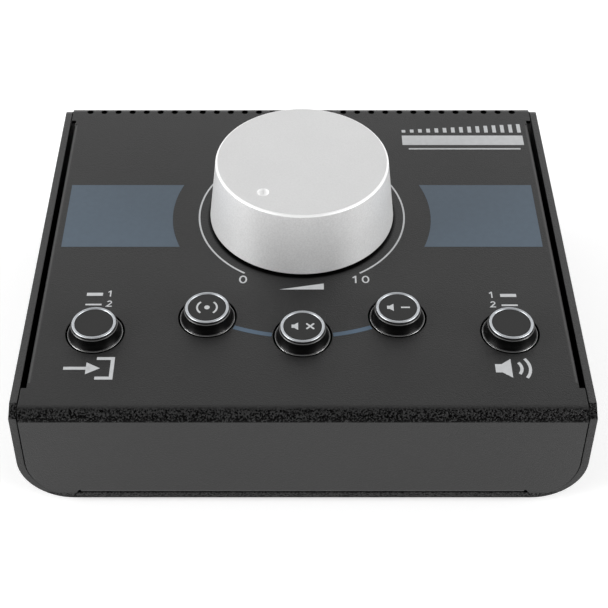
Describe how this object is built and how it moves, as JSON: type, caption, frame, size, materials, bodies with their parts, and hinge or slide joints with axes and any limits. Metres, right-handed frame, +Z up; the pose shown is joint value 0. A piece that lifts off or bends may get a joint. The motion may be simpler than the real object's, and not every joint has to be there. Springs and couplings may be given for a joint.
{
  "type": "studio monitor controller",
  "caption": "Sloped sheet-metal desktop audio controller with a large turning volume knob, a curved row of push buttons and rear plug sockets.",
  "frame": {"origin": "on the floor under the middle of the whole object", "axes": "+X to the right along the case's width, +Y to the rear sockets, +Z up"},
  "size_m": [0.163, 0.1458, 0.0651],
  "materials": {
    "cover_coat": "fine-textured dark grey powder coat",
    "tray_coat": "fine-textured dark grey powder coat",
    "black_screw": "blackened",
    "board": "green circuit board",
    "standoff": "nickel-coated brass",
    "steel": "bright zinc",
    "brass": "machined",
    "black_plastic": "fine matte",
    "turned_aluminium": "fine-turned, clear anodised",
    "pale_plastic": "matte",
    "ribbon": "flat ribbed cable",
    "rubber": "matte",
    "spring_wire": "drawn wire",
    "cap_gloss": "gloss, with a satin top",
    "ring_silver": "polished"
  },
  "bodies": {
    "case": {"top_cover": "cover_coat", "base_tray": "tray_coat", "base_screws": "black_screw", "control_board": "board", "socket_board": "board", "panel_standoffs": "standoff", "socket_board_standoffs": "standoff", "panel_board_screws": "steel", "socket_board_screws": "steel", "volume_pot_case": "steel", "volume_pot_bushing": "brass", "volume_pot_washer": "steel", "volume_pot_nut": "steel", "socket_washers": "steel", "socket_nuts": "steel", "panel_header": "pale_plastic", "socket_header": "pale_plastic", "ribbon_cable": "ribbon", "foot_front_left": "rubber", "foot_front_right": "rubber", "foot_rear_left": "rubber", "foot_rear_right": "rubber", "source_switch_body": "black_plastic", "source_switch_spring": "spring_wire", "mono_switch_body": "black_plastic", "mono_switch_spring": "spring_wire", "mute_switch_body": "black_plastic", "mute_switch_spring": "spring_wire", "dim_switch_body": "black_plastic", "dim_switch_spring": "spring_wire", "monitor_switch_body": "black_plastic", "monitor_switch_spring": "spring_wire", "socket_1": "black_plastic", "socket_2": "black_plastic", "socket_3": "black_plastic", "socket_4": "black_plastic", "socket_5": "black_plastic", "socket_6": "black_plastic", "socket_7": "black_plastic", "socket_8": "black_plastic"},
    "volume": {"volume_knob": "turned_aluminium", "knob_hub": "black_plastic", "volume_shaft": "steel", "volume_wiper": "board"},
    "source_button": {"source_button_cap": "cap_gloss", "source_button_ring": "ring_silver", "source_switch_plunger": "pale_plastic"},
    "mono_button": {"mono_button_cap": "cap_gloss", "mono_button_ring": "ring_silver", "mono_switch_plunger": "pale_plastic"},
    "mute_button": {"mute_button_cap": "cap_gloss", "mute_button_ring": "ring_silver", "mute_switch_plunger": "pale_plastic"},
    "dim_button": {"dim_button_cap": "cap_gloss", "dim_button_ring": "ring_silver", "dim_switch_plunger": "pale_plastic"},
    "monitor_button": {"monitor_button_cap": "cap_gloss", "monitor_button_ring": "ring_silver", "monitor_switch_plunger": "pale_plastic"}
  },
  "joints": [
    {"name": "volume_turn", "type": "hinge", "parent": "case", "child": "volume", "pos_m": [0, 0.01115, 0.04161], "axis": [0, 0.0523, -0.9986], "range_deg": [-7, 293]},
    {"name": "source_press", "type": "slide", "parent": "case", "child": "source_button", "axis": [0, 0.0523, -0.9986], "range_m": [0, 0.0025], "stiffness_N_per_m": 300, "springref_m": -0.002, "deforming": ["source_switch_spring"]},
    {"name": "mono_press", "type": "slide", "parent": "case", "child": "mono_button", "axis": [0, 0.0523, -0.9986], "range_m": [0, 0.0025], "stiffness_N_per_m": 300, "springref_m": -0.002, "deforming": ["mono_switch_spring"]},
    {"name": "mute_press", "type": "slide", "parent": "case", "child": "mute_button", "axis": [0, 0.0523, -0.9986], "range_m": [0, 0.0025], "stiffness_N_per_m": 300, "springref_m": -0.002, "deforming": ["mute_switch_spring"]},
    {"name": "dim_press", "type": "slide", "parent": "case", "child": "dim_button", "axis": [0, 0.0523, -0.9986], "range_m": [0, 0.0025], "stiffness_N_per_m": 300, "springref_m": -0.002, "deforming": ["dim_switch_spring"]},
    {"name": "monitor_press", "type": "slide", "parent": "case", "child": "monitor_button", "axis": [0, 0.0523, -0.9986], "range_m": [0, 0.0025], "stiffness_N_per_m": 300, "springref_m": -0.002, "deforming": ["monitor_switch_spring"]}
  ]
}
